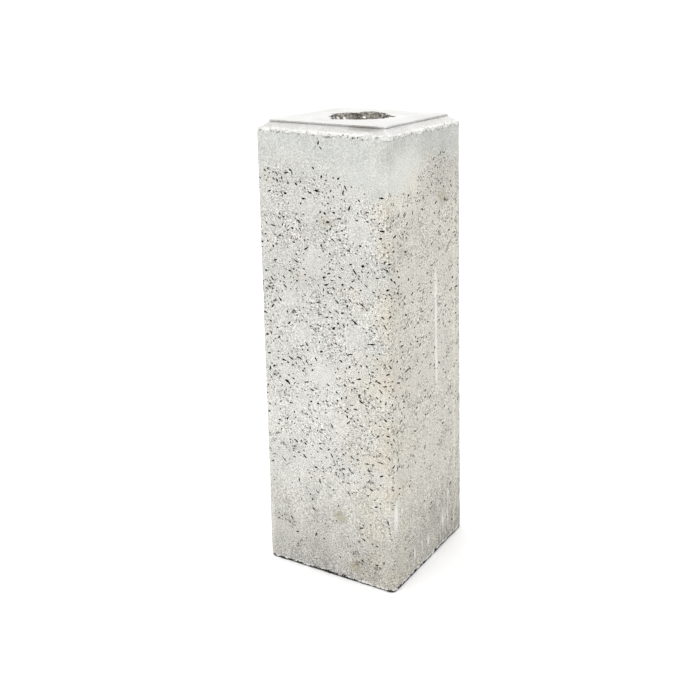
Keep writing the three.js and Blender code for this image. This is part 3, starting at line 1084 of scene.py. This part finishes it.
def wide_shades(nodes, place, masks):
    """How light the surface is, from cloud to cloud and from patch to patch, with painted shade on the far
    arris of the right side.
    """
    z, right = masks["z"], masks["right"]
    shade = nodes.times_plus(nodes.noise(place, 0.07, 3.0), 0.09, 0.975)
    for middle, reach, lighter in BLOTCHES:
        apart = nodes.times_plus(masks["wander"], reach * 0.5, distance(nodes, place, middle))
        shade = nodes.times_plus(nodes.step(apart, reach, reach * 0.4), lighter, shade)
    shade = nodes.times_plus(right, -0.02, shade)
    shade = nodes.times_plus(masks["bare"], 0.02, shade)
    # painted shade on the far arris of the right side, where its rounding turns away from the light
    far_arris_shade = nodes.times(right, nodes.step(masks["along"], 0.945, 0.975))
    shade = nodes.times_plus(far_arris_shade, -0.2, shade)
    shade = nodes.times_plus(nodes.noise(place, 0.018, 3.0, 0.6), 0.12, shade)
    drift = nodes.times(nodes.noise(place, 0.03, 3.0), nodes.math("SUBTRACT", 1.0, masks["sandy"]))
    shade = nodes.times_plus(drift, 0.12, shade)
    shade = nodes.times_plus(nodes.step(z, *LIGHTER_MIDDLE), 0.05, shade)
    low = nodes.times_plus(nodes.noise(place, 0.04, 3.0), 0.05, z)
    return nodes.times_plus(nodes.step(low, *DARK_FOOT), -0.30, shade)


def upright_marks(nodes, place, masks, shade):
    """Adds the upright drag marks by the foot, and the ripples at the foot of the right side."""
    z = masks["z"]
    upright = nodes.stretched(place, (1, 1, 0.1))
    drag = nodes.times(nodes.noise(upright, 0.008, 3.0, 0.6), nodes.step(z, *DRAGGED_FOOT))
    shade = nodes.times_plus(drag, 0.13, shade)
    rippled = nodes.times(nodes.step(masks["along"], 0.05, 0.4), nodes.step(z, *RIPPLED_FOOT))
    rippled = nodes.times(rippled, masks["right"])
    ripples = nodes.noise(nodes.stretched(place, (1, 1, 0.2)), 0.0055, 2.0, 0.6)
    return nodes.times_plus(nodes.times(rippled, ripples), 0.6, shade)


def sand_and_specks(nodes, place, masks, sand, spots, shade):
    """Adds the sand's grain, which is coarser where the surface is open, and dark and pale specks."""
    low_end = nodes.step(masks["z"], *COARSE_FOOT)
    coarse = nodes.times(low_end, nodes.times_plus(masks["right"], 0.35, 0.6))
    coarse = nodes.larger(masks["open"], coarse)
    shade = nodes.times_plus(sand, nodes.times_plus(coarse, 0.18, 0.13), shade)
    grit = nodes.noise(place, 0.0016, 1.0)
    shade = nodes.times_plus(grit, nodes.times_plus(coarse, 0.74, 0.46), shade)
    cells = nodes.times_plus(masks["sandy"], 0.2, 0.45)
    specks = scattered(nodes, spots, place, 0.0034, cells, 0.5)
    shade = nodes.times_plus(specks, nodes.times_plus(masks["sandy"], -0.04, -0.14), shade)
    moved = nodes.stretched(place, (1, 1, 1), (0.3, 0.1, 0.7))
    pale = scattered(nodes, spots, moved, 0.0028, cells, 0.5)
    shade = nodes.times_plus(pale, 0.15, shade)
    return nodes.larger(shade, DARKEST_SHADE)


def pale_chamfer(nodes, place, masks, facing, shade, tone):
    """Lays pale cement on the chamfer, with flash that runs down over the sides and its shadow below it."""
    z = masks["z"]
    flash_low, flash_high, shadow_low, shadow_high = (chamfer_foot() - drop for drop in FLASH_DROPS)
    ragged = nodes.times_plus(nodes.noise(place, 0.010, 4.0, 0.9), 0.0095, z)
    flash = nodes.step(ragged, flash_low, flash_high)
    shadow = nodes.math("SUBTRACT", nodes.step(ragged, shadow_low, shadow_high), flash, clamp=True)
    shadow = nodes.times(shadow, nodes.step(nodes.noise(place, 0.006, 3.0, 0.8), -0.1, 0.35))
    tone = nodes.scaled(tone, nodes.times_plus(shadow, -0.75, 1.0))
    pale = nodes.larger(nodes.step(facing, 0.2, 0.6), flash)
    clean = nodes.times_plus(nodes.math("SUBTRACT", shade, 1.0), 0.7, 0.95)
    rear_edge = nodes.times(masks["rear"], nodes.step(facing, *OFF_TOP_FACE))
    clean = nodes.times_plus(rear_edge, 0.07, clean)
    tone = nodes.mix(pale, tone, nodes.scaled(tuple(finish_colours().fresh_edge), clean))
    fringe = nodes.times_plus(nodes.noise(place, 0.007, 3.0, 0.7), 0.004, z)
    fringe = nodes.times(nodes.step(fringe, *CHAMFER_FRINGE), pale)
    return nodes.mix(nodes.times(fringe, 0.55), tone, tuple(finish_colours().lime))


def small_holes(nodes, place, masks, facing, spots):
    """Where sand has dropped out, and where there are pinholes that are too small to be cut."""
    flat = nodes.flattened(place, VOID_LEAN, 1.5)
    pitted = masks["pitted"]
    right_less = nodes.times_plus(masks["right"], -0.62, 1.0)
    closed = nodes.math("SUBTRACT", pitted, masks["open"])
    shown = nodes.math("ADD", right_less, closed, clamp=True)
    pits = nodes.times_plus(pitted, 0.34, nodes.noise(flat, 0.0036, 3.0, 0.75))
    pits = nodes.times(nodes.step(pits, 0.575, 0.62), nodes.times(shown, 0.9))
    pinholes = scattered(nodes, spots, flat, 0.0042, nodes.times(pitted, 0.57), 0.55)
    return nodes.times(nodes.larger(pinholes, pits), nodes.step(facing, 0.5, 0.2))


def stained(nodes, place, masks, tone):
    """Lays the brown stains and the broken lime streaks."""
    for middle, reach, strength in STAINS:
        apart = nodes.times_plus(masks["wander"], reach * 0.8, distance(nodes, place, middle))
        stain = nodes.times(nodes.step(apart, reach, reach * 0.25), strength)
        tone = nodes.mix(stain, tone, tuple(finish_colours().stain))
    broken = nodes.step(nodes.noise(nodes.stretched(place, (1, 1, 0.3)), 0.008, 3.0, 0.7), -0.45, 0.0)
    for side, streaks in LIME_STREAKS.items():
        for one in streaks:
            line = streak(nodes, masks, side, **one)
            tone = nodes.mix(nodes.times(line, broken), tone, tuple(finish_colours().lime))
    return tone


def groove_dirt_and_shade(nodes, place, masks, facing, tone):
    """Lays grime and painted shade in the groove under the lip, and grime and painted shade on the chamfer
    below it that grow towards the lip; all are lighter at the back.
    """
    z = masks["z"]
    # the chamfer darkens towards the lip: grime and painted shade
    wash_and_shade = nodes.times_plus(nodes.noise(place, 0.012, 4.0, 0.8), 0.006, z)
    wash_and_shade = nodes.times_plus(nodes.step(wash_and_shade, *THICK_WASH_AND_SHADE), 0.09, 0.15)
    wash_and_shade = nodes.times(wash_and_shade, nodes.step(z, *WASH_AND_SHADE))
    # painted shade and grime in the groove under the lip
    groove = nodes.times(nodes.step(z, *GROOVE), nodes.step(facing, 0.5, 0.3))
    groove = nodes.times(groove, nodes.step(nodes.noise(place, 0.011, 4.0, 0.7), -0.3, 0.5))
    grime = nodes.times(nodes.step(distance(nodes, place, GRIME), 0.03, 0.008), 0.36)
    wash_and_shade = nodes.math("ADD", wash_and_shade, nodes.times(grime, nodes.step(z, *GRIME_RISE)))
    dirt_and_shade = nodes.larger(wash_and_shade, nodes.times(groove, 0.3))
    dirt_and_shade = nodes.times(dirt_and_shade, nodes.times_plus(masks["rear"], -0.6, 1.0))
    dirt_and_shade = nodes.times(dirt_and_shade, nodes.step(facing, *OFF_TOP_FACE))
    return nodes.mix(dirt_and_shade, tone, tuple(finish_colours().soil_and_shade))


def flecks_and_foot_shadow(nodes, place, masks, tone):
    """Lays pale flecks along the foot, and a painted shadow line below them where the foot meets the floor.
    """
    z = masks["z"]
    edge = nodes.noise(place, 0.008, 3.0, 0.8)
    fleck = nodes.times_plus(nodes.noise(place, 0.005, 3.0, 0.8), 0.006, z)
    often = nodes.times_plus(masks["right"], 0.4, edge)
    fleck = nodes.times(nodes.step(fleck, *FLECKS), nodes.step(often, -0.05, 0.15))
    tone = nodes.mix(nodes.times(fleck, 0.8), tone, tuple(finish_colours().lime))
    # painted shadow under the foot's broken edge, where it meets the floor
    under = nodes.step(nodes.times_plus(edge, 0.008, z), *FOOT_SHADOW)
    return nodes.mix(under, tone, tuple(finish_colours().deep_shade))


def shaded_inner_walls(nodes, place, tone):
    """Paints shade on the walls of the voids and the socket, and a darker tone that is partly painted shade
    on the crumbled edges, which the void layer tells apart.
    """
    void = nodes.add("ShaderNodeAttribute", {}, attribute_name=VOID_LAYER).outputs["Fac"]
    raw = nodes.times_plus(nodes.noise(place, 0.0048, 4.0, 0.85), 3.6, 0.9)
    wall = nodes.scaled(tuple(finish_colours().socket_shade), nodes.larger(raw, 0.12))
    for middle, reach in STONES:
        stone = nodes.step(distance(nodes, place, middle), reach, reach * 0.55)
        wall = nodes.mix(stone, wall, tuple(finish_colours().lime))
    # painted shade on the socket's wall, and a darker tone, partly painted shade, on the crumbled edges
    tone = nodes.mix(nodes.step(void, 0.1, 0.3), tone, wall)
    # painted shade deep inside the air voids
    return nodes.mix(nodes.step(void, 0.7, 0.95), tone, tuple(finish_colours().deep_shade))


def concrete():
    """The whole material, laid from the widest differences to the finest."""
    tones = finish_colours()
    material = bpy.data.materials.new("cast concrete")
    material.use_nodes = True
    nodes = Nodes(material.node_tree)
    shader = material.node_tree.nodes["Principled BSDF"]
    spots = grains()

    here = nodes.add("ShaderNodeTexCoord", {}).outputs
    place = here["Object"]
    facing = nodes.add("ShaderNodeSeparateXYZ", {"Vector": here["Normal"]}).outputs["Z"]
    masks = side_masks(nodes, place)

    tone = nodes.mix(masks["sandy"], tuple(tones.dense_skin), tuple(tones.cement))
    warmer = nodes.mix(1.0, tone, tuple(tones.warm_stain), "MULTIPLY")
    tone = nodes.mix(warm_tint(nodes, place, masks), tone, warmer)
    sand = nodes.noise(place, 0.0034, 3.0, 0.8)
    shade = upright_marks(nodes, place, masks, wide_shades(nodes, place, masks))
    shade = sand_and_specks(nodes, place, masks, sand, spots, shade)
    tone = nodes.scaled(tone, shade)
    tone = pale_chamfer(nodes, place, masks, facing, shade, tone)
    holes = small_holes(nodes, place, masks, facing, spots)
    # the small holes are painted nearly black: painted shade inside them
    tone = nodes.mix(nodes.times(holes, 0.95), tone, tuple(tones.deep_shade))
    tone = stained(nodes, place, masks, tone)
    tone = groove_dirt_and_shade(nodes, place, masks, facing, tone)
    tone = flecks_and_foot_shadow(nodes, place, masks, tone)
    tone = shaded_inner_walls(nodes, place, tone)
    nodes.put(shader.inputs["Base Color"], tone)
    shader.inputs["Roughness"].default_value = 0.93
    shader.inputs["Specular IOR Level"].default_value = 0.3

    height = nodes.times(sand, nodes.times_plus(masks["open"], SAND_RELIEF, SKIN_RELIEF))
    height = nodes.times_plus(holes, -HOLE_DEPTH, height)
    bump = nodes.add("ShaderNodeBump", {"Strength": 1.0, "Distance": 1.0, "Height": height})
    nodes.put(shader.inputs["Normal"], bump.outputs["Normal"])
    return material


# The stage


class StageSettings(bpy.types.PropertyGroup):
    """The studio round the block"""

    floor_size: bpy.props.FloatProperty(
        name="Floor size", description="Width of the square floor", default=60, unit="LENGTH"
    )
    floor_colour: colour("Floor colour", "Colour of the floor", (0.93, 0.93, 0.93))
    sky_light: amount("Sky light", "Strength of the even light from all round", 0.54)
    backdrop: amount("Backdrop", "How bright the background looks to the camera", 1.05)
    lamp_strength: amount("Lamp strength", "Strength of the wide soft light from above", 2.9)
    lamp_width: bpy.props.FloatProperty(
        name="Lamp width", description="How wide the soft light is", default=math.radians(80), subtype="ANGLE"
    )
    lamp_turn: bpy.props.FloatVectorProperty(
        name="Lamp turn",
        description="The lamp's turn from shining straight down",
        default=(math.radians(6), math.radians(-2), 0),
        size=3,
        subtype="EULER",
    )
    focal_length: amount("Focal length", "Focal length on a 36 mm wide sensor, in mm", 49.145)
    camera_place: bpy.props.FloatVectorProperty(
        name="Camera place",
        description="Where the camera stands",
        default=(0.6381, -1.0276, 0.7314),
        size=3,
        subtype="TRANSLATION",
    )
    camera_turn: bpy.props.FloatVectorProperty(
        name="Camera turn",
        description="The camera's turn, from looking straight down with its top towards +Y",
        default=(math.radians(90 - 19.965), 0, math.radians(28.551)),
        size=3,
        subtype="EULER",
    )
    camera_shift: amount("Camera shift", "Sideways shift of the lens, as a share of the frame", -0.0953)


def floor(settings):
    bm = bmesh.new()
    bmesh.ops.create_grid(bm, x_segments=1, y_segments=1, size=settings.floor_size / 2)
    mesh = bpy.data.meshes.new("floor")
    bm.to_mesh(mesh)
    bm.free()
    made = bpy.data.objects.new("floor", mesh)
    bpy.context.scene.collection.objects.link(made)
    material = bpy.data.materials.new("studio floor")
    material.use_nodes = True
    shader = material.node_tree.nodes["Principled BSDF"]
    shader.inputs["Base Color"].default_value = (*settings.floor_colour, 1)
    shader.inputs["Roughness"].default_value = 0.8
    shader.inputs["Specular IOR Level"].default_value = 0.1
    mesh.materials.append(material)


def soft_lamp(settings):
    lamp = bpy.data.lights.new("softbox", "SUN")
    lamp.energy = settings.lamp_strength
    lamp.angle = settings.lamp_width
    made = bpy.data.objects.new("softbox", lamp)
    made.rotation_euler = Euler(settings.lamp_turn)
    bpy.context.scene.collection.objects.link(made)


def sky(settings):
    """Lights the block evenly from all round, with a backdrop that the camera sees white."""
    world = bpy.context.scene.world or bpy.data.worlds.new("studio")
    bpy.context.scene.world = world
    world.use_nodes = True
    nodes = Nodes(world.node_tree)
    seen = nodes.add("ShaderNodeLightPath", {}).outputs["Is Camera Ray"]
    strength = nodes.math(
        "MULTIPLY_ADD", seen, settings.backdrop - settings.sky_light, settings.sky_light
    )
    background = world.node_tree.nodes["Background"]
    background.inputs["Color"].default_value = (1, 1, 1, 1)
    nodes.put(background.inputs["Strength"], strength)


def camera(settings):
    lens = bpy.data.cameras.new("camera")
    lens.lens = settings.focal_length
    lens.sensor_width = 36
    lens.shift_x = settings.camera_shift
    made = bpy.data.objects.new("camera", lens)
    made.location = settings.camera_place
    made.rotation_euler = Euler(settings.camera_turn)
    bpy.context.scene.collection.objects.link(made)
    bpy.context.scene.camera = made


class COLUMNBASE_OT_set_stage(bpy.types.Operator):
    """Lays the floor, hangs the lamps and stands the camera where the photograph was taken"""

    bl_idname = "columnbase.set_stage"
    bl_label = "Set the stage"

    def execute(self, context):
        settings = context.scene.column_base_stage
        floor(settings)
        sky(settings)
        soft_lamp(settings)
        camera(settings)
        context.scene.view_settings.view_transform = "Standard"
        return {"FINISHED"}


class COLUMNBASE_PT_panel(bpy.types.Panel):
    """Lists the steps and the sizes"""

    bl_idname = "COLUMNBASE_PT_panel"
    bl_label = "Column base block"
    bl_space_type = "VIEW_3D"
    bl_region_type = "UI"
    bl_category = "Column base"

    def draw(self, context):
        layout = self.layout
        for operator in STEPS:
            layout.operator(operator.bl_idname)
        for group in (
            context.scene.column_base_sizes,
            context.scene.column_base_marks,
            context.scene.column_base_colours,
            context.scene.column_base_stage,
        ):
            box = layout.box()
            for name in group.bl_rna.properties.keys():
                if name not in {"rna_type", "name"}:
                    box.prop(group, name)


STEPS = (COLUMNBASE_OT_set_stage, COLUMNBASE_OT_cast_block)
GROUPS = {
    "column_base_sizes": BlockSizes,
    "column_base_marks": CastingMarks,
    "column_base_colours": FinishColours,
    "column_base_stage": StageSettings,
}


def register():
    for made in (*GROUPS.values(), *STEPS, COLUMNBASE_PT_panel):
        bpy.utils.register_class(made)
    for name, group in GROUPS.items():
        setattr(bpy.types.Scene, name, bpy.props.PointerProperty(type=group))


def unregister():
    for name in GROUPS:
        delattr(bpy.types.Scene, name)
    for made in (COLUMNBASE_PT_panel, *reversed(STEPS), *GROUPS.values()):
        bpy.utils.unregister_class(made)


def main():
    register()
    bpy.ops.columnbase.set_stage()
    bpy.ops.columnbase.cast_block()


if __name__ == "__main__":
    main()
